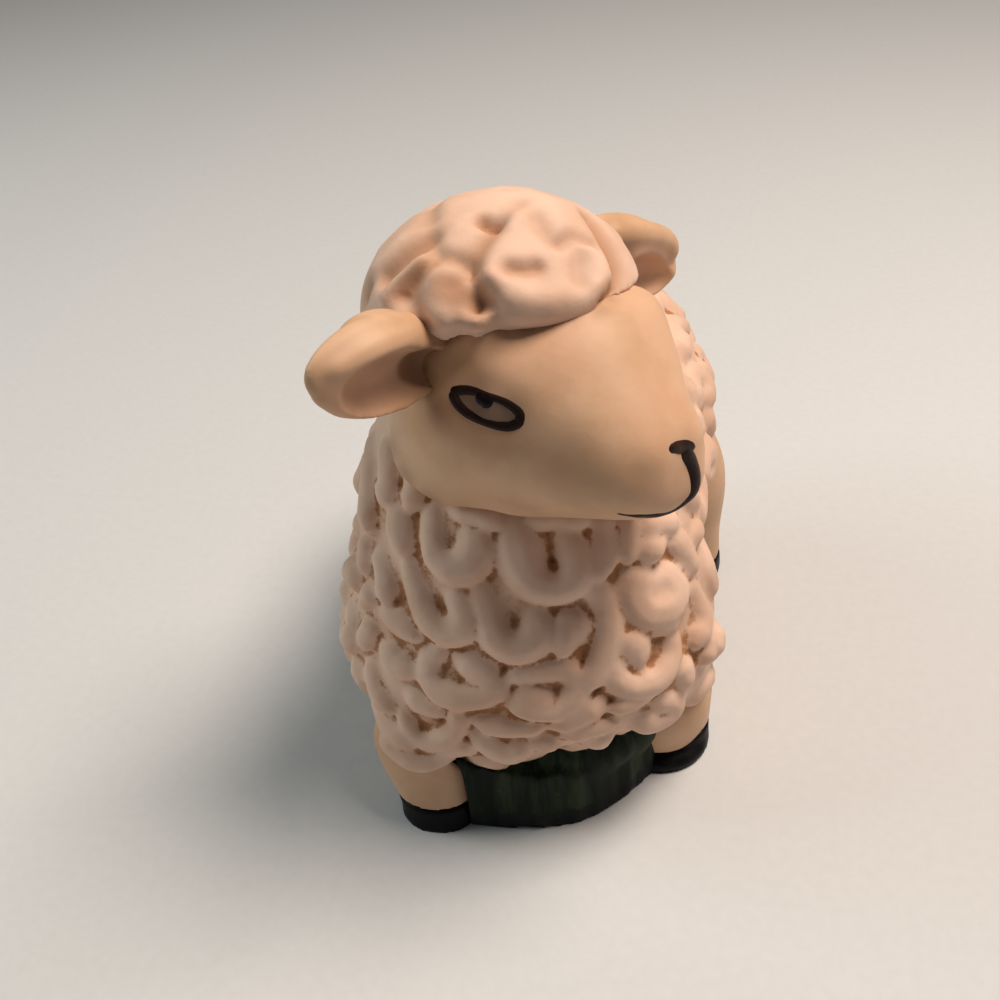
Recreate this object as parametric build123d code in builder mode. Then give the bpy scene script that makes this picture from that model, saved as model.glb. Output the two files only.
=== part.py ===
from build123d import *
from math import cos, radians, sin
import os

os.makedirs("parts", exist_ok=True)

# A small hollow ceramic sheep that stands on z = 0. It faces -Y, its own left side is +X,
# and its head is turned to its left. Every length is in millimetres and every angle in degrees.

# Fleece of chest and neck, a stack of level ovals from the brisket up to the nape
chest_x = 0.3
chest_y = -13.4
chest_bottom = 3.3
chest_height = 40.7
chest_half_width = 19.2
chest_half_depth = 14.3
nape_lean = 4.4
# height, backward lean, width and depth of each oval
chest_shares = (
    (0.00, 0.20, 0.42, 0.42),
    (0.05, 0.10, 0.75, 0.80),
    (0.15, 0.05, 0.93, 0.95),
    (0.30, 0.00, 1.00, 1.00),
    (0.45, 0.15, 0.93, 0.98),
    (0.60, 0.45, 0.86, 0.94),
    (0.74, 0.77, 0.81, 0.91),
    (0.86, 0.90, 0.74, 0.80),
    (0.95, 1.00, 0.56, 0.59),
    (1.00, 1.00, 0.25, 0.28),
)

# Fleece of barrel and rump, a row of upright ovals from the shoulders back to the tail
barrel_x = 0.6
barrel_front = -12.0
barrel_length = 38.0
barrel_middle = 25.6
barrel_half_width = 16.8
barrel_half_height = 17.0
rump_lift = 1.2
# distance back, lift, width and height of each oval
barrel_shares = (
    (0.00, 0.00, 0.80, 0.88),
    (0.16, 0.00, 0.96, 0.98),
    (0.38, 0.10, 1.00, 1.00),
    (0.60, 0.30, 0.99, 0.98),
    (0.78, 0.60, 0.88, 0.88),
    (0.90, 0.85, 0.68, 0.70),
    (0.97, 1.00, 0.42, 0.44),
    (1.00, 1.00, 0.16, 0.18),
)

# Locks of wool, round knobs that stand proud of the fleece in staggered rows
lock_radius = 3.2
lock_proud = 0.8
# height of each row on the chest and the turn of each lock in it, from the sheep's left over the front
chest_lock_shares = (
    (0.18, (262, 284)),
    (0.34, (155, 183, 208, 231, 253, 275, 297, 320, 345, 373)),
    (0.50, (168, 196, 220, 242, 264, 286, 308, 332, 360, 386)),
    (0.66, (155, 183, 208, 231, 253, 275, 297, 320, 345)),
    (0.79, (168, 196, 221, 340)),
)
# distance back of each row on the barrel and the turn of each lock in it, from its left side over the back
barrel_lock_shares = (
    (0.36, (-20, 4, 28, 52, 76, 100, 124, 148, 172, 196)),
    (0.53, (16, 40, 64, 88, 112, 136, 160)),
    (0.70, (4, 28, 52, 76, 100, 124, 148, 172)),
    (0.87, (0, 36, 72, 108, 144, 180)),
)

# Head, placed by the point between its ears, then turned to the left and tipped
head_x = 0.4
head_y = -13.4
head_z = 48.5
head_turn = 56
head_tip = 8
skull_length = 9.6
muzzle_length = 18.5
head_half_width = 9.8
head_half_height = 10.8
jaw_drop = 6.0
# place, drop, width and height of each oval; the place runs from -1 at the back of the skull
# over 0 between the ears to 1 at the nose
head_shares = (
    (-1.00, 0.70, 0.15, 0.14),
    (-0.77, 0.88, 0.70, 0.78),
    (-0.27, 0.77, 1.00, 1.00),
    (0.21, 0.72, 1.00, 0.945),
    (0.485, 0.72, 0.86, 0.815),
    (0.70, 0.80, 0.715, 0.63),
    (0.865, 0.88, 0.56, 0.465),
    (0.96, 0.92, 0.385, 0.32),
    (1.00, 0.93, 0.16, 0.14),
)

# Wool cap on the skull, an egg in the head's own frame, cut away over the face
cap_side = 0.5
cap_back = 1.3
cap_lift = 2.0
cap_half_width = 12.3
cap_half_length = 11.2
cap_half_height = 9.3
face_window_back = 3.6
face_window_top = 2.1
face_window_slope = 13.5

# Ears, thick leaves that stand out from under the cap, each placed and tipped by itself
ear_half_thickness = 2.0
ear_half_height = 4.1
right_ear_length = 14.0
right_ear_root = 7.6
right_ear_forward = 0.3
right_ear_lift = 0.6
right_ear_rise = 10
left_ear_length = 17.2
left_ear_root = 8.0
left_ear_back = 1.8
left_ear_lift = 4.8
left_ear_droop = 18
# distance out and girth of each oval
ear_shares = ((0.00, 0.50), (0.15, 0.78), (0.40, 1.00), (0.65, 0.95), (0.84, 0.68), (0.96, 0.34), (1.00, 0.12))

# Legs, each a stack of level ovals from the ground up into the fleece
front_leg_half_width = 5.5
rear_leg_half_width = 4.5
leg_half_depth = 4.6
front_leg_height = 17.0
rear_leg_height = 25.0
hoof_height = 2.6
# height, girth and inward lean of each oval. The front right leg tapers to its foot,
# and the rear ones have a thigh
front_right_leg_shares = (
    (0.00, 0.73, 0.50),
    (0.16, 0.77, 0.42),
    (0.47, 0.96, 0.10),
    (0.80, 0.95, 0.60),
    (1.00, 0.50, 1.00),
)
front_left_leg_shares = (
    (0.00, 1.00, 0.0),
    (0.16, 0.97, 0.0),
    (0.45, 1.05, 0.1),
    (0.80, 0.95, 0.6),
    (1.00, 0.50, 1.0),
)
rear_leg_shares = (
    (0.00, 1.00, 0.0),
    (0.11, 0.97, 0.0),
    (0.30, 1.02, 0.1),
    (0.55, 1.30, 0.4),
    (0.80, 1.25, 0.8),
    (0.95, 0.80, 1.0),
    (1.00, 0.35, 1.0),
)
front_right_rake = 4.5
front_left_rake = 3.5
rear_rake = -2.0
leg_lean = 3.0
front_right_x = -9.4
front_right_y = -24.6
front_left_x = 13.0
front_left_y = -12.6
rear_right_x = -12.0
rear_right_setback = 7.0
rear_left_x = 14.2
rear_left_setback = 10.4

# Grass mound that fills the space under the belly between the legs
grass_height = 10.5
grass_front = -26.6
grass_setback = 4.1
grass_half_width = 14.0
# distance to the sheep's left and distance back of each point round the mound
grass_shares = (
    (-0.50, 0.00),
    (0.05, 0.005),
    (0.48, 0.04),
    (0.84, 0.145),
    (1.04, 0.27),
    (0.88, 0.45),
    (0.86, 0.70),
    (0.90, 0.88),
    (0.55, 0.99),
    (-0.10, 1.00),
    (-0.66, 0.98),
    (-0.90, 0.88),
    (-0.82, 0.60),
    (-0.84, 0.30),
    (-0.60, 0.06),
)

# Tail, one long drop that hangs down the rump
tail_half_width = 4.0
tail_half_depth = 3.2
tail_half_length = 8.0
tail_middle = 24.0
tail_sink = 1.0
tail_lean = 12

# Casting: the clay wall, the way from the body's hollow into the head's, and the hole in the base
wall = 3.0
neck_passage_radius = 5.0
vent_radius = 4.0
vent_y = -8.0

# How finely ovals are drawn and eggs are stacked
oval_points = 12
egg_ovals = 11
egg_end_angle = 81


def swell(rows):
    """Lofts closed ovals. A row holds a plane, the oval's centre on it, its half width and half height."""
    turns = [radians(360 * k / oval_points) for k in range(oval_points)]
    with BuildPart() as form:
        for plane, across, up, half_width, half_height in rows:
            with BuildSketch(plane):
                with BuildLine():
                    Spline(
                        [(across + half_width * cos(t), up + half_height * sin(t)) for t in turns],
                        periodic=True,
                    )
                make_face()
        loft()
    return form.part


def chest_form(inset=0.0):
    """Chest and neck, drawn in on every side by inset."""
    rows = []
    for rise, lean, wide, deep in chest_shares:
        level = chest_bottom + inset + rise * (chest_height - 2 * inset)
        rows.append((
            Plane.XY.offset(level),
            chest_x,
            chest_y + lean * nape_lean,
            wide * (chest_half_width - inset),
            deep * (chest_half_depth - inset),
        ))
    return swell(rows)


def barrel_form(inset=0.0):
    """Barrel and rump, drawn in on every side by inset."""
    start = Plane((0, barrel_front, 0), x_dir=(-1, 0, 0), z_dir=(0, 1, 0))
    rows = []
    for back, lift, wide, high in barrel_shares:
        rows.append((
            start.offset(inset + back * (barrel_length - 2 * inset)),
            -barrel_x,
            barrel_middle + lift * rump_lift,
            wide * (barrel_half_width - inset),
            high * (barrel_half_height - inset),
        ))
    return swell(rows)


def between(table, share):
    """The row of a table of shares at any share of its length."""
    for low, high in zip(table, table[1:]):
        if share <= high[0]:
            part = (share - low[0]) / (high[0] - low[0])
            return [a + part * (b - a) for a, b in zip(low, high)]
    return table[-1]


def lock_centres():
    """Where the locks' centres lie, on the fleece's own forms drawn in by a lock's depth."""
    depth = lock_radius - lock_proud
    centres = []
    for row, turns in chest_lock_shares:
        rise, lean, wide, deep = between(chest_shares, row)
        for turn in turns:
            centres.append((
                chest_x + wide * (chest_half_width - depth) * cos(radians(turn)),
                chest_y + lean * nape_lean + deep * (chest_half_depth - depth) * sin(radians(turn)),
                chest_bottom + depth + rise * (chest_height - 2 * depth),
            ))
    for row, turns in barrel_lock_shares:
        back, lift, wide, high = between(barrel_shares, row)
        for turn in turns:
            centres.append((
                barrel_x + wide * (barrel_half_width - depth) * cos(radians(turn)),
                barrel_front + depth + back * (barrel_length - 2 * depth),
                barrel_middle + lift * rump_lift + high * (barrel_half_height - depth) * sin(radians(turn)),
            ))
    return centres


head_place = Pos(head_x, head_y, head_z) * Rot(0, 0, head_turn) * Rot(0, head_tip, 0)


def head_form(inset=0.0):
    """Skull, face and muzzle, drawn in on every side by inset."""
    crown = Plane(head_place * Rot(90, 0, 0))
    rows = []
    for place, drop, wide, high in head_shares:
        reach = (skull_length if place < 0 else muzzle_length) - inset
        rows.append((
            crown.offset(place * reach),
            0,
            -drop * jaw_drop,
            wide * (head_half_width - inset),
            high * (head_half_height - inset),
        ))
    return swell(rows)


def egg(place, half_width, half_depth, half_height):
    """An ellipsoid of three half sizes, with its ovals stacked along the place's own upright."""
    start = Plane(place)
    rows = []
    for k in range(egg_ovals):
        slant = radians(egg_end_angle * (2 * k / (egg_ovals - 1) - 1))
        rows.append((start.offset(half_height * sin(slant)), 0, 0, half_width * cos(slant), half_depth * cos(slant)))
    return swell(rows)


def ear_form(place, length):
    """One ear, from its root outwards along the place's own upright."""
    start = Plane(place)
    rows = []
    for out, girth in ear_shares:
        rows.append((start.offset(out * length), 0, 0, girth * ear_half_height, girth * ear_half_thickness))
    return swell(rows)


def leg_form(x, y, half_width, height, rake, shares):
    """One leg from the ground up, raked to the rear and leaning in towards the belly at its top."""
    inward = -leg_lean if x > 0 else leg_lean
    rows = []
    for rise, girth, lean in shares:
        rows.append((
            Plane.XY.offset(rise * height),
            x + lean * inward,
            y + rise * rake,
            girth * half_width,
            girth * leg_half_depth,
        ))
    return swell(rows)


def finish(builder, name):
    """Names a finished piece and writes it."""
    builder.part.label = name
    export_step(builder.part, f"parts/{name}.step")
    box = builder.part.bounding_box()
    print(name, len(builder.solids()), "solid", round(builder.part.volume), box.min, box.max)


# Whole outer forms, which also cut the pieces that seat on them
with BuildPart() as fleece:
    add(chest_form())
    add(barrel_form())

skull = head_form()
cap_egg = egg(head_place * Pos(cap_side, cap_back, cap_lift), cap_half_width, cap_half_length, cap_half_height)

# The face's window is a block in front of and below the cap's edge, as wide as the cap is
window_place = head_place * Pos(cap_side, face_window_back, face_window_top) * Rot(-face_window_slope, 0, 0)
window_reach = 2 * cap_half_length
with BuildPart() as cap_form:
    add(cap_egg)
    with Locations(window_place):
        Box(
            2 * window_reach,
            window_reach,
            window_reach,
            align=(Align.CENTER, Align.MAX, Align.MAX),
            mode=Mode.SUBTRACT,
        )
cap = cap_form.part

rump_y = barrel_front + barrel_length
rear_right_y = rump_y - rear_right_setback
rear_left_y = rump_y - rear_left_setback
front = (front_leg_half_width, front_leg_height)
rear = (rear_leg_half_width, rear_leg_height, rear_rake, rear_leg_shares)
legs = {
    "front_right": leg_form(front_right_x, front_right_y, *front, front_right_rake, front_right_leg_shares),
    "front_left": leg_form(front_left_x, front_left_y, *front, front_left_rake, front_left_leg_shares),
    "rear_right": leg_form(rear_right_x, rear_right_y, *rear),
    "rear_left": leg_form(rear_left_x, rear_left_y, *rear),
}

# The hollow that the slip leaves, from the belly up through the neck
with BuildPart() as hollow:
    add(chest_form(wall))
    add(barrel_form(wall))
    with BuildSketch(Plane((chest_x, chest_y + nape_lean, barrel_middle))):
        Circle(neck_passage_radius)
    extrude(amount=head_z - barrel_middle)
    with BuildSketch(Plane((chest_x, vent_y, 0))):
        Circle(vent_radius)
    extrude(amount=barrel_middle)

# Body shell with its locks
with BuildPart() as body:
    add(fleece.part)
    with Locations(lock_centres()):
        Sphere(lock_radius)
    add(hollow.part, mode=Mode.SUBTRACT)
finish(body, "body")

# Head shell, open below where it stands on the neck
with BuildPart() as head:
    add(skull)
    add(head_form(wall), mode=Mode.SUBTRACT)
    add(fleece.part, mode=Mode.SUBTRACT)
finish(head, "head")

# Wool cap, laid over the skull, without the crumb that the skull's blunt back end cuts off it
with BuildPart() as wool_cap:
    add(cap)
    add(skull, mode=Mode.SUBTRACT)
    add(fleece.part, mode=Mode.SUBTRACT)
    add(wool_cap.solids().sort_by(SortBy.VOLUME)[-1], mode=Mode.REPLACE)
finish(wool_cap, "wool_cap")

# Ears, rooted against the skull and the cap
right_ear_place = Pos(-right_ear_root, -right_ear_forward, right_ear_lift) * Rot(0, right_ear_rise - 90, 0)
left_ear_place = Pos(left_ear_root, left_ear_back, left_ear_lift) * Rot(0, left_ear_droop + 90, 0)
ears = {"right": ear_form(head_place * right_ear_place, right_ear_length),
        "left": ear_form(head_place * left_ear_place, left_ear_length)}
for side, form in ears.items():
    with BuildPart() as ear:
        add(form)
        add(skull, mode=Mode.SUBTRACT)
        add(cap, mode=Mode.SUBTRACT)
    finish(ear, f"ear_{side}")

# Legs and hooves, each leg cut off level at the top of its hoof
hoof_top = Plane.XY.offset(hoof_height)
for corner, form in legs.items():
    with BuildPart() as leg:
        add(form)
        split(bisect_by=hoof_top, keep=Keep.TOP)
        add(fleece.part, mode=Mode.SUBTRACT)
    finish(leg, f"leg_{corner}")
    with BuildPart() as hoof:
        add(form)
        split(bisect_by=hoof_top, keep=Keep.BOTTOM)
    finish(hoof, f"hoof_{corner}")

# Grass mound under the belly, from the ground up to the fleece, with the hole for the slip
grass_length = rump_y - grass_setback - grass_front
with BuildPart() as grass_base:
    with BuildSketch():
        with BuildLine():
            Spline(
                [(across * grass_half_width, grass_front + back * grass_length) for across, back in grass_shares],
                periodic=True,
            )
        make_face()
    extrude(amount=grass_height)
    add(fleece.part, mode=Mode.SUBTRACT)
    for form in legs.values():
        add(form, mode=Mode.SUBTRACT)
    with BuildSketch(Plane((chest_x, vent_y, 0))):
        Circle(vent_radius)
    extrude(amount=grass_height, mode=Mode.SUBTRACT)
finish(grass_base, "grass_base")

# Tail, hanging down the rump
tail_place = Pos(barrel_x, rump_y - tail_sink, tail_middle) * Rot(-tail_lean, 0, 0)
with BuildPart() as tail:
    add(egg(tail_place, tail_half_width, tail_half_depth, tail_half_length))
    add(fleece.part, mode=Mode.SUBTRACT)
finish(tail, "tail")
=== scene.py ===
# %% [markdown]
# # A small painted clay sheep, dressed over its solid model
# The solid model gives every piece its place and size. This lesson gives the pieces what clay and
# paint give the real figurine: fleece rolled from coils of clay, a smooth face, folded ears, painted
# eyes and nose, and a dark green mound of grass. The frame is loaded first. The finished figurine
# may not grow out of it.

# %% Load the solid model
import bpy
import math
import numpy as np
from mathutils import Matrix, Vector
from mathutils.bvhtree import BVHTree


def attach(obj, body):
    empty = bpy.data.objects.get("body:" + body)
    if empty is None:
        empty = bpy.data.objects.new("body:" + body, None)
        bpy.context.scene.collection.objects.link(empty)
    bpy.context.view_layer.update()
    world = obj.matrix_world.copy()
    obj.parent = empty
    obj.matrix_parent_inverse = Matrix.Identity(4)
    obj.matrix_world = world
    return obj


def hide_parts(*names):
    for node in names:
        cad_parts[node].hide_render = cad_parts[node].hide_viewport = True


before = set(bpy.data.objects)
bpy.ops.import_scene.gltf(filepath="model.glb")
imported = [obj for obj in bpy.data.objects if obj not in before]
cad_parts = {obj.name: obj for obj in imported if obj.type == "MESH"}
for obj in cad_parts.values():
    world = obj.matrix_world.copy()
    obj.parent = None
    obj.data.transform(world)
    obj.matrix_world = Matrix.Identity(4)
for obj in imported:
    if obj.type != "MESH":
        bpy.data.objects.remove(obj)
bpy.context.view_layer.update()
MM = 0.001
print("pieces in the frame:", len(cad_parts))

# %% [markdown]
# ## The camera
# The photograph was taken from a little above, in front and slightly to the sheep's left, with the
# phone rolled a few degrees. The camera comes before the clay, because the curls on the chest are
# laid where the photograph shows them: a pixel of the photograph gives a ray, and the ray gives a
# point on the solid model.

# %% Stand the camera where the photograph was taken
PHOTO_SIDE = 1000
scene = bpy.context.scene
scene.view_settings.view_transform = "Standard"
aim, distance = Vector((-1.5, -14.0, 31.5)) * MM, 110
turn, height, roll = math.radians(13), math.radians(37), math.radians(5)
away = Vector((math.sin(turn) * math.cos(height), -math.cos(turn) * math.cos(height), math.sin(height)))
bpy.ops.object.camera_add(location=aim + away * distance * MM)
camera = bpy.context.object
camera.name = "photo_camera"
look = (-away).to_track_quat("-Z", "Y").to_matrix() @ Matrix.Rotation(-roll, 3, "Z")
camera.rotation_euler = look.to_euler()
camera.data.lens = 43.2
camera.data.sensor_width = 36
camera.data.clip_start = MM
scene.camera = camera
photo_focus = PHOTO_SIDE * camera.data.lens / camera.data.sensor_width
photo_middle = PHOTO_SIDE / 2


def pixel_ray(u, v):
    """The direction from the camera through a pixel of the photograph."""
    right, up = (u - photo_middle) / photo_focus, (photo_middle - v) / photo_focus
    return (look @ Vector((right, up, -1))).normalized()


print("camera at", [round(c / MM, 1) for c in camera.location], "mm")

# %% [markdown]
# ## Hands for the work
# A few small helpers do what hands do at the bench: pick a piece up, take a copy of a solid, join
# lumps of clay, fuse them into one skin and smooth it with a damp sponge. Fusing is a voxel remesh,
# which is how a sculptor in Blender turns overlapping lumps into one closed surface.

# %% Helpers to pick, copy, roll and join
def pick(*pieces):
    """Selects these pieces alone, with the first one active."""
    if bpy.context.mode != "OBJECT":
        bpy.ops.object.mode_set(mode="OBJECT")
    bpy.ops.object.select_all(action="DESELECT")
    for piece in pieces:
        piece.select_set(True)
    bpy.context.view_layer.objects.active = pieces[0]


def clay_copy(node, name):
    """A merged copy of a solid's mesh, as a new piece."""
    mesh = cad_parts[node].data.copy()
    mesh.materials.clear()
    piece = bpy.data.objects.new(name, mesh)
    scene.collection.objects.link(piece)
    mesh.name = name
    pick(piece)
    bpy.ops.object.mode_set(mode="EDIT")
    bpy.ops.mesh.select_all(action="SELECT")
    bpy.ops.mesh.remove_doubles(threshold=MM / 1000)
    bpy.ops.mesh.normals_make_consistent(inside=False)
    bpy.ops.object.mode_set(mode="OBJECT")
    return piece


def lump(centre, radii, turned=None):
    """A ball of clay, pressed to three half sizes in millimetres, at a place in millimetres."""
    bpy.ops.object.select_all(action="DESELECT")
    bpy.ops.mesh.primitive_ico_sphere_add(subdivisions=4, radius=MM)
    ball = bpy.context.object
    place = Matrix.Translation(Vector(centre) * MM) @ (turned or Matrix()).to_3x3().to_4x4()
    ball.data.transform(place @ Matrix.Diagonal((*radii, 1)))
    return ball


def join(piece, others):
    """Presses other pieces into a piece."""
    pick(piece, *others)
    bpy.ops.object.join()
    return piece


def add_lumps(piece, lumps):
    """Presses balls of clay into a piece, each given by its centre and half sizes."""
    join(piece, [lump(*form) for form in lumps])


print("hands ready")

# %% Helpers to fuse, sponge and carve
def finish_with(piece, kind, **settings):
    """Adds one modifier and applies it."""
    pick(piece)
    modifier = piece.modifiers.new(kind.lower(), kind)
    for name, value in settings.items():
        setattr(modifier, name, value)
    bpy.ops.object.modifier_apply(modifier=modifier.name)


def sponge_off(piece, times):
    """Smooths the skin a number of times."""
    finish_with(piece, "SMOOTH", factor=0.5, iterations=times)


def fuse(piece, voxel, sponge=0):
    """One closed skin round everything in the piece, sponged a number of times."""
    finish_with(piece, "REMESH", mode="VOXEL", voxel_size=voxel * MM, use_smooth_shade=True)
    if sponge:
        sponge_off(piece, sponge)


def carve(piece, cutter):
    """Cuts one form out of another and takes the cutter away."""
    finish_with(piece, "BOOLEAN", operation="DIFFERENCE", object=cutter, solver="EXACT")
    bpy.data.objects.remove(cutter, do_unlink=True)


def triangles(piece):
    """How many triangles a piece has."""
    piece.data.calc_loop_triangles()
    return len(piece.data.loop_triangles)


print("sponge and knife ready")

# %% Helpers to read and push the skin
def read_triples(rows, key):
    """Three numbers for each row of a mesh."""
    flat = np.empty(len(rows) * 3)
    rows.foreach_get(key, flat)
    return flat.reshape(-1, 3)


def places(mesh):
    """All vertices of a mesh, in millimetres."""
    return read_triples(mesh.vertices, "co") / MM


def outward(mesh):
    """All vertex normals of a mesh."""
    return read_triples(mesh.vertex_normals, "vector")


def put_places(mesh, spots):
    """Writes the vertices back, in millimetres."""
    mesh.vertices.foreach_set("co", (spots * MM).ravel())
    mesh.update()


def fade(gap, reach):
    """How much of a touch is left at a distance: all at none, about a third at its reach."""
    return np.exp(-((gap / reach) ** 2))


def thumb(piece, touches, place=None):
    """Soft pushes: (spot in the place's own frame, reach, push out), all in millimetres."""
    place = place or Matrix()
    spots, normals = places(piece.data), outward(piece.data)
    push = np.zeros(len(spots))
    for centre, reach, out in touches:
        push += out * fade(np.linalg.norm(spots - np.array(place @ Vector(centre)), axis=1), reach)
    put_places(piece.data, spots + normals * push[:, None])


def stand_flat(piece, foot=0.25):
    """Presses the points that lie lower than this flat on the table."""
    spots = places(piece.data)
    spots[:, 2] = np.where(spots[:, 2] < foot, 0, spots[:, 2])
    put_places(piece.data, spots)


def skin_tree(*pieces):
    """A search tree of the surface of one or more pieces."""
    spots, faces = [], []
    for piece in pieces:
        faces += [[len(spots) + k for k in face.vertices] for face in piece.data.polygons]
        spots += [vertex.co.copy() for vertex in piece.data.vertices]
    return BVHTree.FromPolygons(spots, faces)


print("thumb ready")

# %% [markdown]
# ## Hollows that hold the brown wash
# The real figurine was washed with thin brown stain and wiped, so that stain stays only in creases.
# The mesh itself can say where these are: a point that lies below its own smoothed surroundings is
# in a crease. Each piece keeps that depth as an attribute on its points, and the materials read it.

# %% Measure creases
TIGHT, WIDE = 10, 45
DEEPEST = 1.5


def averaged(values, edges, times):
    """Values on points, averaged with their neighbours a number of times."""
    count = len(values)
    ends = np.concatenate((edges[:, 0], edges[:, 1]))
    others = np.concatenate((edges[:, 1], edges[:, 0]))
    share = np.maximum(np.bincount(ends, minlength=count), 1)[:, None]
    for _ in range(times):
        sums = [np.bincount(ends, column[others], count) for column in values.T]
        values = 0.5 * values + 0.5 * np.stack(sums, axis=1) / share
    return values


def keep_mask(piece, name, mask):
    """Stores one number per point on a piece."""
    layer = piece.data.attributes.new(name, "FLOAT", "POINT")
    layer.data.foreach_set("value", np.clip(mask, 0, 1).astype(np.float32))


def mark_creases(piece, depth=0.16):
    """Keeps how deep each point lies in a narrow crease, and in a hollow three times as deep."""
    mesh = piece.data
    spots, normals = places(mesh), outward(mesh)
    edges = np.empty(len(mesh.edges) * 2, dtype=np.int64)
    mesh.edges.foreach_get("vertices", edges)
    edges = edges.reshape(-1, 2)
    near = averaged(spots, edges, TIGHT)
    far = averaged(near, edges, WIDE)
    for name, level, full, times in (("crease", near, depth, 1), ("hollow", far, 3 * depth, 3)):
        sunk = ((level - spots) * normals).sum(axis=1) / full
        keep_mask(piece, name, averaged(np.clip(sunk, 0, DEEPEST)[:, None], edges, times)[:, 0])


print("crease gauge ready")

# %% [markdown]
# ## Curls of the fleece
# The maker rolled thin coils of clay, curled them into hooks and pressed them side by side on the
# chest. They could be a bump in the material, but each coil stands over a millimetre high and makes
# the outline knobbly, so they have to be real shapes. Each curl is a curve with a round bevel. Its
# points are places in the photograph with the coil's half width in millimetres, and each point is
# pressed into the clay until the coil's top is about level with the solid. The locks lie like
# shingles: the lower end of each one stands a little higher and laps over the next.

# %% Trace the curls of the chest
chest_curls = (
    ((427, 511, 1.1), (426, 535, 1.15), (431, 558, 1.35), (448, 572, 1.5), (466, 569, 1.8), (477, 551, 2),
     (469, 535, 1.7)),
    ((510, 523, 1.6), (514, 540, 2.2), (519, 561, 2.3), (531, 581, 2), (548, 593, 1.5), (565, 591, 1.5),
     (577, 577, 1.6), (578, 558, 1.6), (572, 541, 1.5), (560, 532, 1)),
    ((605, 519, 1.2), (606, 543, 1.35), (607, 561, 1.3), (603, 573, 1)),
    ((630, 517, 0.9), (631, 538, 0.95), (630, 558, 0.8)),
    ((644, 578, 1.7), (637, 595, 2.1), (649, 612, 2.1), (670, 611, 2.2), (682, 592, 2), (673, 577, 1.8),
     (657, 590, 2.6)),
    ((648, 530, 1.2), (662, 523, 1.3), (678, 526, 1.2)),
    ((645, 547, 1.2), (660, 549, 1.3), (667, 543, 1)),
    ((679, 539, 1.3), (689, 553, 1.3), (697, 568, 1.1)),
    ((588, 589, 1.3), (602, 595, 1.35), (609, 612, 1.3), (610, 634, 1.25), (606, 654, 1.25),
     (599, 672, 1.2), (589, 685, 0.9)),
    ((567, 650, 1.2), (565, 632, 1.5), (575, 623, 1.4), (580, 637, 1.3)),
    ((475, 583, 1.2), (480, 600, 1.6), (486, 620, 1.6), (496, 640, 1.6), (512, 651, 1.7), (529, 647, 1.6),
     (539, 633, 1.75), (535, 620, 1.4)),
    ((403, 565, 0.9), (408, 585, 1.2), (418, 607, 1.4), (431, 626, 1.4), (446, 636, 1.4), (461, 629, 1.5),
     (462, 613, 1.6), (451, 603, 1.3)),
    ((439, 653, 0.9), (426, 663, 1.25), (422, 679, 1.25), (433, 695, 1.35), (452, 701, 1.35),
     (473, 702, 1.25), (490, 697, 1.2), (500, 688, 1)),
    ((460, 666, 1.4), (474, 674, 1.6), (490, 683, 1.4)),
    ((509, 681, 0.8), (527, 678, 1.1), (547, 675, 1.4), (568, 674, 1.4), (581, 683, 1.3), (578, 700, 1.2),
     (565, 712, 1.1), (546, 717, 0.8), (529, 714, 0.9), (513, 710, 0.7)),
    ((518, 703, 1.1), (533, 704, 1.2), (547, 705, 1.1)),
    ((631, 647, 1.4), (642, 651, 1.6), (642, 663, 1.2)),
    ((612, 645, 0.9), (611, 666, 1.2), (620, 684, 1.3), (639, 691, 1.25), (657, 685, 1.3), (673, 671, 1.3),
     (679, 653, 1.2), (675, 637, 1)),
    ((660, 630, 0.9), (678, 626, 0.9)),
    ((690, 667, 1.2), (691, 685, 1.1)),
    ((702, 640, 1.2), (709, 619, 1.2), (704, 598, 1.2), (696, 581, 1)),
    ((718, 637, 1), (712, 660, 1)),
    ((408, 704, 1.3), (422, 710, 1.4), (434, 715, 1)),
    ((400, 721, 0.8), (411, 737, 1), (429, 745, 1.1), (448, 742, 1.1), (456, 728, 0.9), (454, 717, 0.7)),
    ((479, 728, 1.1), (497, 732, 1.3), (518, 734, 1.1), (538, 732, 0.8)),
    ((476, 743, 1.2), (492, 755, 1.5), (510, 761, 1.6), (524, 754, 1.3)),
    ((537, 746, 1.2), (550, 752, 1.1)),
    ((560, 729, 1.2), (578, 723, 1.3), (597, 712, 1.4)),
    ((620, 711, 1), (639, 704, 1), (655, 694, 0.7)),
    ((573, 739, 1.2), (594, 734, 1.1), (616, 728, 1)),
    ((445, 755, 1), (466, 752, 1.1)),
    ((394, 509, 1.4), (392, 528, 1.85), (397, 544, 1.4)),
    ((378, 498, 1.4), (384, 483, 1.4)),
    ((372, 558, 1.2), (380, 578, 1.3), (382, 596, 1.2)),
    ((363, 590, 1.3), (359, 603, 1)),
    ((382, 619, 1.2), (395, 626, 1.6), (406, 637, 1.1)),
    ((365, 626, 1.2), (359, 643, 1.1)),
    ((380, 653, 1.5), (391, 664, 1.6), (407, 672, 1.2)),
    ((365, 667, 1.2), (369, 689, 1.3), (380, 708, 1.3)),
    ((369, 705, 1.3), (380, 722, 1.5), (393, 735, 1.4), (406, 744, 1.1)),
    ((378, 742, 1), (389, 752, 1.1)),
    ((359, 543, 1), (359, 566, 1)),
    ((363, 433, 1), (362, 464, 1.1), (363, 496, 1.1), (363, 522, 1)),
    ((379, 441, 1.2), (382, 462, 1.3), (385, 480, 1.2)),
    ((408, 462, 1.2), (411, 485, 1.2), (408, 504, 1)),
    ((456, 514, 1), (476, 514, 1.1), (492, 524, 1)),
    ((537, 519, 1.2), (560, 517, 1.1), (584, 522, 1.1)),
    ((380, 742, 1), (391, 755, 1.15), (408, 765, 1.2), (425, 768, 1.15), (442, 762, 1.1), (452, 753, 1)),
)
print("curls traced on the chest:", len(chest_curls))

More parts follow.
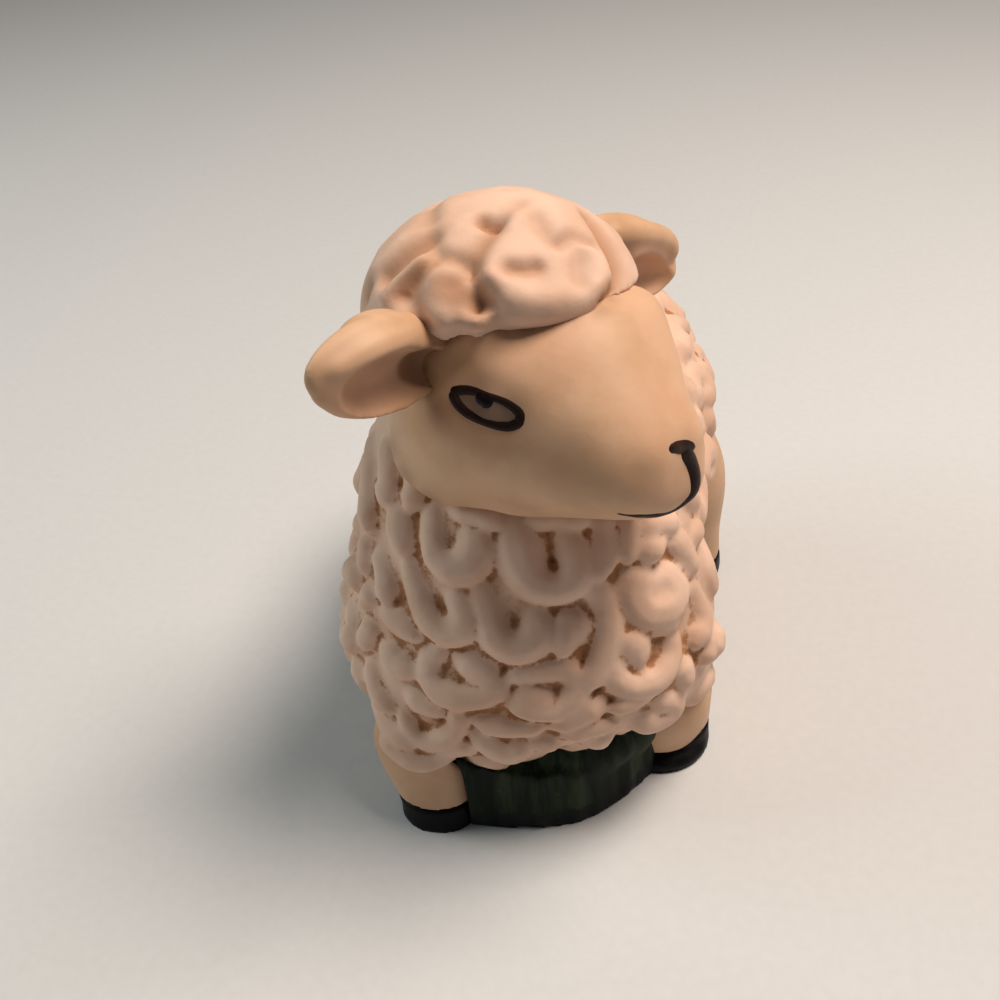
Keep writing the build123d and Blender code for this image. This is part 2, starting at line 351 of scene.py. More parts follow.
# %% Press a coil's line on a surface
# The share of its half width that a coil is pressed in, and what pressing adds to its half width
PRESS, GIRTH = 0.84, 1.17
# The lift of a low end, in millimetres: at most, by the pixel and by the millimetre
MOST_LIFT, PIXEL_LIFT, SLOPE_LIFT = 0.4, 0.014, 0.14
# A ray that misses is followed in steps of this length, over this range of steps
SIGHT_STEP, SIGHT = 0.5, range(140, 320)


def resample(points, count):
    """The same path with a given number of evenly spaced points."""
    points = np.array(points, dtype=float)
    way = np.concatenate(([0], np.cumsum(np.linalg.norm(np.diff(points[:, :3], axis=0), axis=1))))
    steps = np.linspace(0, way[-1], count)
    return np.stack([np.interp(steps, way, points[:, k]) for k in range(points.shape[1])], axis=1)


def press_on(tree, spot, radius, press=PRESS, lift=0.0):
    """The centre of a coil that lies over this spot, as (x, y, z, radius) in millimetres."""
    near, normal, _, _ = tree.find_nearest(spot)
    lift = max(-MOST_LIFT, min(MOST_LIFT, lift))
    return (*(near / MM - normal * (radius * press - lift)), radius)


def cast(tree, u, v):
    """Where a pixel's ray meets a surface, or passes it most closely."""
    ray = pixel_ray(u, v)
    hit = tree.ray_cast(camera.location, ray)[0]
    if hit is None:
        tries = [camera.location + ray * k * SIGHT_STEP * MM for k in SIGHT]
        hit = min((tree.find_nearest(spot) for spot in tries), key=lambda found: found[3])[0]
    return hit


def cast_rows(tree, rows):
    """Rows that begin with a pixel, with the place in millimetres instead of the pixel."""
    return [(cast(tree, u, v) / MM, *rest) for u, v, *rest in rows]


def traced(tree, curl, press=PRESS):
    """A curl of photograph pixels, as centres on the surface, lifted at its lower end."""
    middle = sum(v for _, v, _ in curl) / len(curl)
    return [
        press_on(tree, cast(tree, u, v), radius * GIRTH, press, PIXEL_LIFT * (v - middle))
        for u, v, radius in curl
    ]


print("coils are pressed in by", PRESS)

# %% Roll coils along their lines
# A blunt end reaches this share of its half width past the line, and is this share as thick
END_REACH, END_GIRTH = 0.75, 0.35


def blunt_end(tip, inner):
    """One more point beyond the tip of a path, away from the next point inwards."""
    end = tip.copy()
    ahead = tip[:3] - inner[:3]
    end[:3] += ahead / np.linalg.norm(ahead) * tip[3] * END_REACH
    end[3] *= END_GIRTH
    return end


def coils(name, paths, most=14, facets=3):
    """All coils as one mesh: round curves with blunt ends."""
    bpy.ops.object.select_all(action="DESELECT")
    bpy.ops.curve.primitive_nurbs_path_add(radius=MM)
    roll_of_clay = bpy.context.object
    roll_of_clay.name = name
    curve = roll_of_clay.data
    curve.splines.clear()
    for path in paths:
        path = resample(path, max(6, min(most, 2 * len(path))))
        path = np.vstack((blunt_end(path[0], path[1]), path, blunt_end(path[-1], path[-2])))
        spline = curve.splines.new("NURBS")
        spline.points.add(len(path) - 1)
        for point, (x, y, z, radius) in zip(spline.points, path):
            point.co = (x * MM, y * MM, z * MM, 1)
            point.radius = radius
        spline.order_u = 3
        spline.use_endpoint_u = True
        spline.resolution_u = 3
    curve.dimensions = "3D"
    curve.bevel_depth = MM
    curve.bevel_resolution = facets
    curve.use_fill_caps = True
    pick(roll_of_clay)
    bpy.ops.object.convert(target="MESH")
    return bpy.context.object


print("coil maker ready")

# %% [markdown]
# ## The body under the curls
# The curls lie on the bare clay body. It is made from the solid: the casting hollow is plugged, the
# skin is remeshed evenly, and smoothing presses the solid's round locks flat again, because every
# lock of the real fleece is drawn by its own coil. What smoothing takes off the large rounds is about
# what it leaves of the locks, so the skin stays where the coils' tops have to end. A thumb presses
# the hem in at the front left, where the photograph shows grass and leg higher up. The chest's
# coils are laid on this body and on the tops of the front legs, because the wool hangs over them.

# %% Smooth the body and lay the chest's coils
body_plug = (
    ((0.3, -13, 22), (15.5, 11, 16.5)),
    ((0.3, -11, 35), (12.5, 10.5, 8.2)),
    ((0.6, 5, 26), (14.0, 17, 14.5)),
    ((0.3, -8, 14), (5, 5, 10.2)),
    ((-10.0, -20.4, 13.4), (4.6, 5.6, 4.6)),
)
raised_hem = (
    ((6.7, -25.6, 7.2), 3.8, -2.0), ((10.8, -23.4, 7.6), 3.8, -1.9), ((14.8, -20.2, 7.2), 4.0, -2.2),
)
fleece = clay_copy("body", "fleece")
add_lumps(fleece, body_plug)
fuse(fleece, 0.6, 4)
sponge_off(fleece, 40)
thumb(fleece, raised_hem)
body_tree = skin_tree(fleece)
bed_tree = skin_tree(fleece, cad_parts["leg_front_right"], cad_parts["leg_front_left"])
chest_paths = [traced(bed_tree, curl) for curl in chest_curls]
print("chest coils laid:", len(chest_paths))

# %% [markdown]
# ## Curls that the photograph doesn't show
# On the flanks, the back and the rump the fleece goes on in the same hand: hooks about eight
# millimetres across with a knob in the middle, and single lumps in the gaps. Their places come from a
# seeded scatter over the smooth body, each kept a hook's width from its neighbours, so that the lesson
# gives the same sheep each time.

# %% Scatter places and wind hooks
# In radians, and a little more than a full turn
FULL_TURN = 6.3
# A hook's steps, how far it winds in, how steeply, and the height it is laid down from
HOOK_STEPS, WOUND_IN, WIND_POWER, LAID_FROM = 8, 0.62, 1.5, 1.5
# The share of its girth that a hook has at its ends, and what its middle adds
END_SHARE, SWELL = 0.85, 0.25
dice = np.random.default_rng(20)


def chance(least, more):
    """A seeded number: at least this, and at most so much more."""
    return least + more * dice.random()


def scatter(piece, count, keep):
    """Random places and normals on a piece, where keep says yes."""
    mesh = piece.data
    mesh.calc_loop_triangles()
    spots = places(mesh)
    corners = np.array([tuple(t.vertices) for t in mesh.loop_triangles])
    a, b, c = (spots[corners[:, k]] for k in range(3))
    normals = np.cross(b - a, c - a)
    areas = np.linalg.norm(normals, axis=1)
    chosen = dice.choice(len(areas), count, p=areas / areas.sum())
    s, t = np.sqrt(dice.random(count)), dice.random(count)
    shares = (1 - s, s * (1 - t), s * t)
    found = sum(corner[chosen] * share[:, None] for corner, share in zip((a, b, c), shares))
    facing = normals[chosen] / np.maximum(areas[chosen], 1e-9)[:, None]
    yes = np.array([keep(p, n) for p, n in zip(found, facing)])
    return found[yes], facing[yes]


def hook(tree, centre, normal, reach, girth, start, turning, press):
    """A curl that winds inwards on the surface."""
    across = Vector(normal).orthogonal().normalized()
    along = Vector(normal).cross(across)
    centres = []
    for step in range(HOOK_STEPS + 1):
        way = step / HOOK_STEPS
        angle = start + turning * way
        out = reach * (1 - WOUND_IN * way ** WIND_POWER)
        flat = across * (math.cos(angle) * out) + along * (math.sin(angle) * out)
        spot = (Vector(centre) + flat + Vector(normal) * LAID_FROM) * MM
        size = girth * (END_SHARE + SWELL * math.sin(math.pi * way))
        centres.append(press_on(tree, spot, size, press, -SLOPE_LIFT * flat.z))
    return centres


def clear_of(spot, others, gap):
    """Whether a spot keeps a gap from all others."""
    return not len(others) or np.min(np.linalg.norm(np.array(others) - spot, axis=1)) > gap


print("dice and hooks ready")

# %% Grow curls on the back and the flanks
LUMP_GAP = 3.3
LAID_GAP = 0.58
# What chance gives a hook and a lump: the least, and how much more at most
HOOK_REACH, HOOK_GIRTH, WIND = (2.15, 0.5), (0.85, 0.3), (250, 90)
LUMP_SLANT, LUMP_GIRTH = (0.5, 1), (0.75, 0.4)
BELLY_FACING, BELLY_END = -0.75, 20
NECK_TOP, NECK_BACK, NECK_SIDE = 41.5, -4, 8


def grown_curls(piece, tree, laid, keep, hook_gap=7.2, tries=6000, girth=1.8, press=PRESS):
    """Hooks, then lumps, where no coil lies yet."""
    covered = [centre[:3] for path in laid for centre in resample(path, 8)]
    spots, normals = scatter(piece, tries, keep)
    middles, paths = [], []
    for spot, normal in zip(spots, normals):
        if clear_of(spot, covered, LAID_GAP * hook_gap) and clear_of(spot, middles, hook_gap):
            middles.append(spot)
            reach, size = chance(*HOOK_REACH), girth * chance(*HOOK_GIRTH)
            hand = 1 if dice.random() < 0.5 else -1
            turning = hand * math.radians(chance(*WIND))
            paths.append(hook(tree, spot, normal, reach, size, FULL_TURN * dice.random(), turning, press))
    taken = covered + [centre[:3] for path in paths for centre in path] + middles
    hooks = len(paths)
    for spot, normal in zip(spots, normals):
        if clear_of(spot, taken, LUMP_GAP):
            taken.append(spot)
            slant = Vector(normal).orthogonal() * chance(*LUMP_SLANT)
            slant.rotate(Matrix.Rotation(FULL_TURN * dice.random(), 3, Vector(normal)))
            size = girth * chance(*LUMP_GIRTH)
            above = Vector(spot) + Vector(normal)
            paths.append([press_on(tree, (above + slant * k) * MM, size, press) for k in (-1, 0, 1)])
    print("hooks and lumps on", piece.name, hooks, len(paths) - hooks)
    return paths


def open_sky(tree, spot, normal):
    """Whether nothing of the piece itself lies over a spot."""
    return tree.ray_cast(Vector(spot + 0.2 * normal) * MM, Vector(normal))[0] is None


def on_fleece(spot, normal):
    """The outside of the fleece: not the hollow, not under the belly and not under the head."""
    x, y, z = spot
    under_belly = normal[2] < BELLY_FACING and y < BELLY_END
    under_head = z > NECK_TOP and y < NECK_BACK and abs(x) < NECK_SIDE
    return open_sky(body_tree, spot, normal) and not under_belly and not under_head


flank_paths = grown_curls(fleece, body_tree, chest_paths, on_fleece)

# %% [markdown]
# ## The fleece
# The bare body is drawn in by nearly a millimetre, the coils are added, and everything is fused into
# one skin, so that neighbouring coils meet in soft creases as wet clay does. The casting hollow is
# cut back in afterwards with a plain form, because the skin of fine curls is needed only outside.

# %% Fuse the fleece
DRAWN_IN = 0.9
finish_with(fleece, "DISPLACE", strength=-DRAWN_IN * MM, mid_level=0)
join(fleece, [coils("curls", chest_paths + flank_paths)])
fuse(fleece, 0.34, 3)
mark_creases(fleece)
print("fleece triangles:", triangles(fleece))

# %% Cut the casting hollow back into the fleece
chest_hollow = ((0.3, -12.2, 22.0), (13.5, 9.6, 14.8))
other_hollows = (
    ((0.6, 5, 25.6), (12.0, 15, 12.0)),
    ((0.3, -9.5, 34), (9.5, 8.2, 5.5)),
    ((0.3, -8, 8), (4, 4, 12)),
)
hollow_form = lump(*chest_hollow)
add_lumps(hollow_form, other_hollows)
fuse(hollow_form, 1.2, 4)
finish_with(hollow_form, "DECIMATE", ratio=0.25)
carve(fleece, hollow_form)
pick(fleece)
bpy.ops.object.shade_smooth()
print("hollow fleece triangles:", triangles(fleece))

# %% [markdown]
# ## The head
# The face of the real sheep is smooth, wiped clay: a broad brow, a long muzzle and soft lips. The
# solid has the main form and is cut off where it stands on the neck, so its hollow is plugged and a
# neck is added that reaches down into the fleece. The small forms are then pushed out and in with a
# soft thumb: a vertex near a place moves along its normal, less the farther away it is. A place is
# given in the head's own frame, where -Y is the nose and the sheep's right side is -X.

# %% Plug the head and give it a neck
HEAD_AT, HEAD_TURN, HEAD_TIP = (0.4, -13.4, 48.5), 56, 8
HEAD = (
    Matrix.Translation(HEAD_AT)
    @ Matrix.Rotation(math.radians(HEAD_TURN), 4, "Z")
    @ Matrix.Rotation(math.radians(HEAD_TIP), 4, "Y")
)
head_plug = (
    ((0, 2, -4.5), (8.4, 7, 8.6)),
    ((0, -5, -4.2), (7.8, 7.5, 8.0)),
    ((0, -11, -4.8), (5.6, 5.5, 4.8)),
    ((0, -1, -4.8), (9.3, 8.3, 9.8)),
)
face = clay_copy("head", "face")
join(face, [lump(HEAD @ Vector(centre), radii, HEAD) for centre, radii in head_plug])
fuse(face, 0.3, 25)
print("face triangles:", triangles(face))


# %% Press cheeks, brow and muzzle with the thumb
def both_sides(touches):
    """The same touches on the sheep's right and left."""
    return [((side * x, y, z), reach, out) for (x, y, z), reach, out in touches for side in (1, -1)]


brow_and_lips = (
    ((5.5, -9.2, 2.2), 3.2, 1.75), ((6.6, -6.6, 2.4), 2.6, 1.2), ((5.2, -12.4, 0.0), 2.4, 0.6),
    ((0.8, -10.0, 4.2), 3.6, 0.6), ((2.3, -18.1, -7.7), 1.9, 0.65), ((-0.4, -17.6, -9.2), 1.8, 0.3),
    ((0.4, -18.4, -3.6), 1.5, -0.25),
)
cheek_and_socket = (
    ((-7.1, -0.1, -12.1), 3.2, 1.3), ((-7.6, 3.8, -10.8), 3.0, 1.1), ((-4.8, -5.4, -12.8), 3.0, 0.35),
    ((-8.0, -5.6, 1.6), 2.3, 0.45), ((-8.9, -5.2, -1.2), 2.0, -0.45), ((-8.6, -7.6, -1.9), 2.0, -0.45),
    ((-9.0, -6.2, -1.4), 1.5, 0.55), ((-9.2, -2.0, -6.5), 4.0, 0.30), ((-3.6, -15.6, -6.8), 2.4, 0.35),
    ((-2.6, -17.0, -3.4), 1.3, 0.30), ((-6.0, -12.5, -4.0), 2.6, -0.25),
)
brow_knobs = (
    (447, 348, 1.3, 0.5), (460, 342, 1.0, 0.3), (474, 340, 1.2, 0.85), (497, 333, 1.2, 0.75),
    (427, 352, 2.2, 0.7),
)
thumb(face, brow_and_lips, HEAD)
thumb(face, both_sides(cheek_and_socket), HEAD)
thumb(face, cast_rows(skin_tree(face), brow_knobs))
print("knobs on the brow:", len(brow_knobs))

# %% [markdown]
# ## The wool cap
# The wool on the head was modelled softer and lower than on the chest. The hidden back of the cap
# gets the same hooks and lumps as the back of the body. Over the brow the solid's smooth rim is
# pressed in towards the skull, and soft rolls of clay are laid along it, because the wool ends there
# in a row of curls. The front is drawn last, as with a finger: each line is traced over the
# photograph, and the skin near it goes out for a ridge or in for a valley. The valleys hold brown
# stain and painted shade, so they are kept as an attribute as well.

# %% Trace ridges, valleys and hem of the cap
# Each line has its reach and push out in millimetres, and its pixels
cap_lines = (
    (0.65, -0.95, ((483, 220), (489, 223), (497, 223))),
    (0.8, -0.35, ((498, 222), (510, 215), (518, 207))),
    (0.8, -0.7, ((495, 231), (483, 247), (474, 264), (473, 275), (480, 289), (483, 304))),
    (1.5, -0.8, ((455, 289), (468, 298), (480, 306))),
    (0.7, -0.6, ((511, 268), (525, 270), (537, 267))),
    (0.7, -0.45, ((560, 243), (573, 237), (584, 240), (594, 243))),
    (0.8, -0.3, ((535, 220), (542, 231), (552, 241))),
    (0.9, -0.8, ((590, 218), (603, 235), (613, 252), (619, 270), (617, 289), (605, 301))),
    (0.8, -0.35, ((579, 254), (577, 268), (579, 283))),
    (1.1, -0.8, ((386, 275), (398, 263), (413, 249), (428, 238))),
    (0.8, -0.7, ((403, 295), (411, 285), (422, 273), (432, 264))),
    (0.8, -0.55, ((434, 252), (445, 257), (459, 261), (472, 268))),
    (0.8, -0.6, ((365, 296), (369, 285))),
    (1, -0.4, ((434, 203), (431, 212), (430, 220))),
    (0.9, -0.5, ((413, 304), (419, 315), (423, 325))),
    (1, 0.5, ((513, 220), (497, 235), (486, 252), (482, 266), (485, 277))),
    (1.2, 0.35, ((487, 281), (508, 289), (529, 297), (550, 297), (573, 292), (594, 288), (609, 283))),
    (1.1, 0.5, ((590, 254), (596, 262), (600, 275), (598, 287))),
    (1.3, 0.35, ((518, 214), (535, 209), (552, 218), (563, 228))),
    (1.5, 0.7, ((434, 270), (440, 281), (443, 292))),
    (0.7, 0.5, ((426, 258), (411, 270), (396, 283), (386, 298))),
    (1.6, 0.3, ((401, 243), (386, 258), (373, 273))),
    (2.4, 0.35, ((447, 205), (468, 199), (497, 197), (529, 199), (560, 207))),
)
bare_temple = ((634, 246), (640, 262), (646, 280))
rim_line = (
    (434, 337), (448, 335), (462, 333), (475, 331), (488, 329), (519, 325), (549, 319), (575, 312),
    (597, 305),
)
hem_rolls = (
    ((364, 293, 1.1), (381, 289, 1.2), (401, 290, 1.2), (415, 293, 1.1)),
    ((417, 294, 1.2), (420, 306, 1.3), (430, 315, 1.3), (448, 315, 1.0)),
    ((460, 312, 1.1), (475, 314, 1.1), (485, 311, 1.0)),
    ((498, 296, 1.5), (518, 299, 1.6), (544, 300, 1.6), (572, 298, 1.5), (597, 296, 1.3), (613, 296, 1.1)),
)
print("lines and rolls traced on the cap:", len(cap_lines), len(hem_rolls))

# %% Grow curls on the back of the cap
CAP_SIDE, CAP_BACK, CAP_LIFT = 0.5, 1.3, 2.0
CAP_RIM = -4.0
CAP_HOOK_GAP, CAP_TRIES = 6.6, 2500
# The back and the top of the cap: how much each faces the camera, its girth and its press
cap_bands = (((-1.0, -0.3), 1.7, 0.66), ((-0.3, 0.12), 1.6, 0.85))
cap_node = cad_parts["wool_cap"]
cap_tree = skin_tree(cap_node)


def cap_points(line):
    """The places on the cap, in millimetres, that a line of pixels shows."""
    return [tuple(cast(cap_tree, u, v) / MM) for u, v in line]


def on_cap(spot, normal, sight):
    """The outside of the cap above its rim, where it faces the camera as much as sight says."""
    own = HEAD.inverted() @ Vector(spot)
    from_middle = Vector((own.x - CAP_SIDE, own.y - CAP_BACK, own.z - CAP_LIFT))
    outside = from_middle.dot(HEAD.inverted().to_3x3() @ Vector(normal)) > 0
    seen = Vector(normal).dot((camera.location - Vector(spot) * MM).normalized())
    return open_sky(cap_tree, spot, normal) and outside and own.z > CAP_RIM and sight[0] < seen < sight[1]


front_marks = [cap_points(line) for line in (*(line for _, _, line in cap_lines), bare_temple)]
crown_paths = []
for sight, girth, press in cap_bands:
    crown_paths += grown_curls(
        cap_node, cap_tree, front_marks + crown_paths, lambda spot, normal: on_cap(spot, normal, sight),
        CAP_HOOK_GAP, CAP_TRIES, girth, press,
    )

# %% Fuse the cap, press its rim in and roll its hem
RIM_REACH, RIM_DEPTH = 1.3, 2.0
HEM_PRESS = 0.86
SKULL = np.array(HEAD @ Vector((0, 2, -4)))


def gap_to(spots, line, count):
    """How far each spot lies from a line of pixels on the cap."""
    marks = resample(cap_points(line), count)
    return np.min(np.linalg.norm(spots[:, None] - marks[None], axis=2), axis=1)


cap = clay_copy("wool_cap", "cap")
join(cap, [coils("cap_coils", crown_paths)])
fuse(cap, 0.3, 4)
spots = places(cap.data)
inward = SKULL - spots
inward /= np.linalg.norm(inward, axis=1)[:, None]
pressed = RIM_DEPTH * fade(gap_to(spots, rim_line, 40), RIM_REACH)
put_places(cap.data, spots + inward * pressed[:, None])
hem_tree = skin_tree(face, cap_node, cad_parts["ear_right"])
join(cap, [coils("hem_rolls", [traced(hem_tree, roll, HEM_PRESS) for roll in hem_rolls])])
fuse(cap, 0.3, 8)
print("cap triangles:", triangles(cap))


# %% Draw the front of the cap
# How strongly a valley is stained and painted with shade, and how far that brown spreads past its pushed-in
# floor
VALLEY_STAIN_AND_SHADE, VALLEY_SPREAD = 1.3, 0.7


def draw_lines(piece, lines):
    """Pushes the skin along traced lines, and gives back the stain and painted shade of its valleys."""
    spots, normals = places(piece.data), outward(piece.data)
    outer = ((spots - SKULL) * normals).sum(axis=1) > 0
    push, valley_stain_and_shade = np.zeros(len(spots)), np.zeros(len(spots))
    for reach, out, line in lines:
        near = fade(gap_to(spots, line, 4 * len(line)), reach) * outer
        push += out * near
        valley_stain_and_shade = np.maximum(valley_stain_and_shade, -VALLEY_STAIN_AND_SHADE * out * near ** VALLEY_SPREAD)
    put_places(piece.data, spots + normals * push[:, None])
    return valley_stain_and_shade


# The valleys' brown is stain and painted shade
keep_mask(cap, "valley_stain_and_shade", draw_lines(cap, cap_lines))
mark_creases(cap, depth=0.42)
print("lines drawn on the cap:", len(cap_lines))

# %% [markdown]
# ## Ears
# Each ear is a leaf of clay, folded along its length, so that a thick rim rolls over a shaded
# pink inside. The solid leaf gets rolled rims along its edges, and a scoop is pressed out of the
# front between them. Cutting first and fusing afterwards gives the worn, rounded edges that an ear
# pinched by hand has.

# %% Fold the ears
def ear_frame(side, root, forward, lift, tilt):
    """The frame of an ear: Z along it, X up across it, Y to the back."""
    place = Matrix.Translation((side * root, -forward, lift))
    return HEAD @ place @ Matrix.Rotation(math.radians(side * (90 + tilt)), 4, "Y")


def fold_ear(node, name, place, rims, root, scoops):
    """A leaf with rolled rims and a scoop between them, in the ear's own frame."""
    ear = clay_copy(node, name)
    paths = [[(*(place @ Vector(spot)), half) for *spot, half in rim] for rim in rims]
    join(ear, [coils(name + "_rim", paths), lump(place @ Vector(root[0]), root[1], place)])
    fuse(ear, 0.25)
    for scoop_at, scoop_size in scoops:
        carve(ear, lump(place @ Vector(scoop_at), scoop_size, place))
    fuse(ear, 0.22, 8)
    print(name, "triangles:", triangles(ear))
    return ear


right_ear_place = ear_frame(-1, 7.6, 0.3, 0.6, -10)
left_ear_place = ear_frame(1, 8.0, -1.8, 4.8, 18)
right_rims = (
    ((1.7, 0.4, 2.4, 1.4), (2.2, -0.3, 5.6, 1.6), (1.9, -0.9, 9.0, 1.5), (0.4, -0.5, 12.4, 1.1)),
    ((-2.9, 0.2, 3.5, 1.1), (-3.2, 0.2, 7.0, 1.1), (-2.8, 0.2, 10.0, 1.1), (-1.2, 0.0, 12.6, 1.0)),
)
left_rims = (
    ((-2.0, -0.8, 5, 1.5), (-2.6, -0.8, 9.0, 1.4), (-2.6, -0.7, 12.5, 1.3), (-2.3, -0.6, 14.6, 1.2),
     (-1.2, -0.6, 15.5, 1.2)),
    ((0.0, -0.6, 16.0, 1.2), (0.9, -0.4, 15.6, 1.2), (2.0, -0.3, 14.5, 1.2), (2.9, 0.2, 12.0, 1.2)),
)
right_root, left_root = ((1.7, 0.9, 6.8), (2.4, 1.7, 3.8)), ((-1.2, 0.4, 7.5), (2.8, 1.8, 4.6))
right_scoops = (((-1.5, -2.5, 6.4), (3.3, 2.9, 5.8)), ((-0.6, -1.6, 3.2), (2.0, 2.4, 2.6)))
left_scoops = (((1.3, -2.6, 11.6), (2.5, 3.0, 4.6)),)
ear_right = fold_ear("ear_right", "ear_near", right_ear_place, right_rims, right_root, right_scoops)
ear_left = fold_ear("ear_left", "ear_far", left_ear_place, left_rims, left_root, left_scoops)

# %% [markdown]
# ## Legs, hooves and tail
# The legs are short, thick and smooth, and the fleece hangs over their tops. Each solid leg ends
# flat against the fleece, so a lump carries it on into the body, and the front legs are drawn in a
# little where the wool hangs over them. The hooves are only the black painted feet of the legs, with
# their edges worn round. The tail is a drop of clay with two coils.

# %% Shape legs and hooves
SUNK, SUNK_ABOVE, SUNK_FADE = 0.6, 8.5, 2
LEG_FOOT = 2.55
leg_tops = {
    "front_right": ((-9.2, -20.2, 12.0), (4.7, 4.0, 5.8)),
    "front_left": ((13.1, -12.9, 6.6), (5.2, 5.3, 7.4)),
    "rear_right": ((-10.4, 17.4, 19.0), (4.6, 4.6, 6.5)),
    "rear_left": ((12.6, 14.0, 19.0), (4.6, 4.6, 6.5)),
}
wide_hoof = {"front_left": ((13.0, -13.3, 0.7), (5.3, 4.7, 1.9))}
legs, hooves = {}, {}
for corner, (centre, radii) in leg_tops.items():
    leg = clay_copy("leg_" + corner, "shin_" + corner)
    join(leg, [lump(centre, radii)])
    fuse(leg, 0.35, 10)
    spots = places(leg.data)
    if corner.startswith("front"):
        sunk = SUNK * np.clip((spots[:, 2] - SUNK_ABOVE) / SUNK_FADE, 0, 1)
        spots -= outward(leg.data) * sunk[:, None]
    spots[:, 2] = np.maximum(spots[:, 2], LEG_FOOT)
    put_places(leg.data, spots)
    mark_creases(leg, depth=0.2)
    legs[corner] = leg
    hoof = clay_copy("hoof_" + corner, "foot_" + corner)
    if corner in wide_hoof:
        join(hoof, [lump(*wide_hoof[corner])])
    fuse(hoof, 0.25, 5)
    stand_flat(hoof)
    hooves[corner] = hoof
print("leg triangles:", [triangles(leg) for leg in legs.values()])

# %% Shape the tail
TAIL_PRESS = 0.55
tail = clay_copy("tail", "drop_tail")
tail_tree = skin_tree(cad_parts["tail"])
tail_curls = (
    ((-1.5, 31, 29.5, 1.3), (1.6, 31, 28.5, 1.4), (1.9, 31, 25.5, 1.4), (-0.4, 31, 25.2, 1.3)),
    ((2.6, 31, 23.5, 1.2), (0.6, 31, 21.5, 1.4), (-1.2, 31, 22.4, 1.3), (-1.4, 31, 19.8, 1.2),
     (0.6, 31, 18.4, 1.1)),
)
tail_core = ((0.6, 24.0, 24.5), (3.2, 2.6, 6.5))
tail_paths = [
    [press_on(tail_tree, Vector(spot) * MM, half, TAIL_PRESS) for *spot, half in curl]
    for curl in tail_curls
]
join(tail, [coils("tail_coils", tail_paths), lump(*tail_core)])
fuse(tail, 0.3, 6)
mark_creases(tail, depth=0.15)
print("tail triangles:", triangles(tail))

# %% [markdown]
# ## The grass
# The mound under the belly was scored with upright strokes while the clay was soft, and then
# painted. Lumps carry it up to the fleece, and it steps back beside the near front leg. The strokes
# are cut as shallow grooves: each vertex of the wall moves in or out by a seeded wave that depends
# on where it stands round the mound and hardly on its height.

# %% Shape the mound
turf = (
    ((0.3, -12.6, 11.5), (14.6, 11.0, 5.2)),
    ((0.6, 5.0, 12.5), (11.5, 17.0, 4.0)),
    ((-0.5, -23.7, 6.4), (5.4, 2.7, 3.0)),
    ((3.8, -22.4, 7.4), (3.6, 2.7, 3.4)),
    ((7.4, -21.4, 7.9), (3.6, 2.8, 3.6)),
    ((10.6, -18.6, 7.8), (2.8, 2.7, 3.4)),
)
drain = ((0.3, -8, 4), (3.9, 3.9, 12))
step_back = ((-6.6, -27.6, 4), (2.5, 3.3, 9))
grass = clay_copy("grass_base", "grass_mound")
add_lumps(grass, turf)
fuse(grass, 0.4, 5)
for hole in (drain, step_back):
    carve(grass, lump(*hole))
print("lumps of turf:", len(turf))

# %% Score the grass
MOUND_RADIUS, MOUND_Y = 16, -2
# The pitch and depth of each wave, in millimetres, and how the grooves bow and lean
WAVES = ((1.3, 0.09), (2.3, 0.10), (4.1, 0.12))
BOW, BOW_RATE, LEAN = 0.9, 0.31, 0.12
FOOT, FOOT_FADE = 0.3, 1.5
spots, normals = places(grass.data), outward(grass.data)
round_it = np.arctan2(spots[:, 0], MOUND_Y - spots[:, 1]) * MOUND_RADIUS
wave = np.zeros(len(spots))
for pitch, size in WAVES:
    shift, bow = dice.random(2) * FULL_TURN
    bent = BOW * np.sin(round_it * BOW_RATE + bow)
    wave += size * np.sin(round_it * FULL_TURN / pitch + shift + bent + LEAN * spots[:, 2])
upright = 1 - np.abs(normals[:, 2])
above_foot = np.clip(spots[:, 2] / FOOT_FADE, 0, 1) * (spots[:, 2] > FOOT)
put_places(grass.data, spots + normals * (wave * upright * above_foot)[:, None])
stand_flat(grass)
mark_creases(grass, depth=0.12)
print("grass triangles:", triangles(grass))

# %% [markdown]
# ## Painted eyes, nose and mouth
# The face was painted with a fine brush. A painted line could be a mask in the face's material, but
# then its edge is only as sharp as the mesh. Here each stroke is a coil pressed almost all the way
# into the face, so that only a hair of paint stands proud, with the clean edge and the swelling width
# of a brush stroke. A pupil is two drops of paint run together. All of it is traced over the
# photograph on the right side of the head. The eye is mirrored to the left, and of the mouth only
# the part along the jaw, because the rest crosses the lips.

# %% Trace the strokes
eye_line = (
    (452, 392.5, 0.42), (458, 390.3, 0.40), (467.5, 390, 0.37), (476, 391.7, 0.34), (484.5, 395, 0.32),
    (494, 398, 0.31), (504, 401.7, 0.32), (513, 407, 0.36), (521, 414.8, 0.44), (519, 423, 0.43),
    (509.5, 427.2, 0.39), (497.5, 426, 0.36), (486, 422.8, 0.35), (475.7, 418.3, 0.37), (466.3, 413, 0.40),
    (458.8, 405.8, 0.45), (454, 398.6, 0.46), (452, 392.5, 0.42),
)
pupil_drops = ((485.5, 400.5, 0.64), (481, 398, 0.60))
nose_line = (
    (669.5, 449.5, 0.36), (676, 447.3, 0.50), (684, 447, 0.56), (690, 446.6, 0.50), (695, 447, 0.34),
)
mouth_line = (
    (683, 449, 0.60), (687, 454, 0.70), (691, 461, 0.66), (695, 471.6, 0.64), (696.5, 482, 0.64),
    (694, 493, 0.60), (687, 503, 0.55), (674, 511, 0.50), (657, 515.5, 0.43), (636, 515.8, 0.33),
    (617, 513.5, 0.18),
)
face_tree = skin_tree(face)
eye_spots, pupil_spots, nose_spots, mouth_spots = (
    cast_rows(face_tree, rows) for rows in (eye_line, pupil_drops, nose_line, mouth_line)
)
print("points traced on the face:", len(eye_spots) + len(nose_spots) + len(mouth_spots))

# %% Helpers to paint on the face
MIRROR = HEAD @ Matrix.Diagonal((-1, 1, 1, 1)) @ HEAD.inverted()


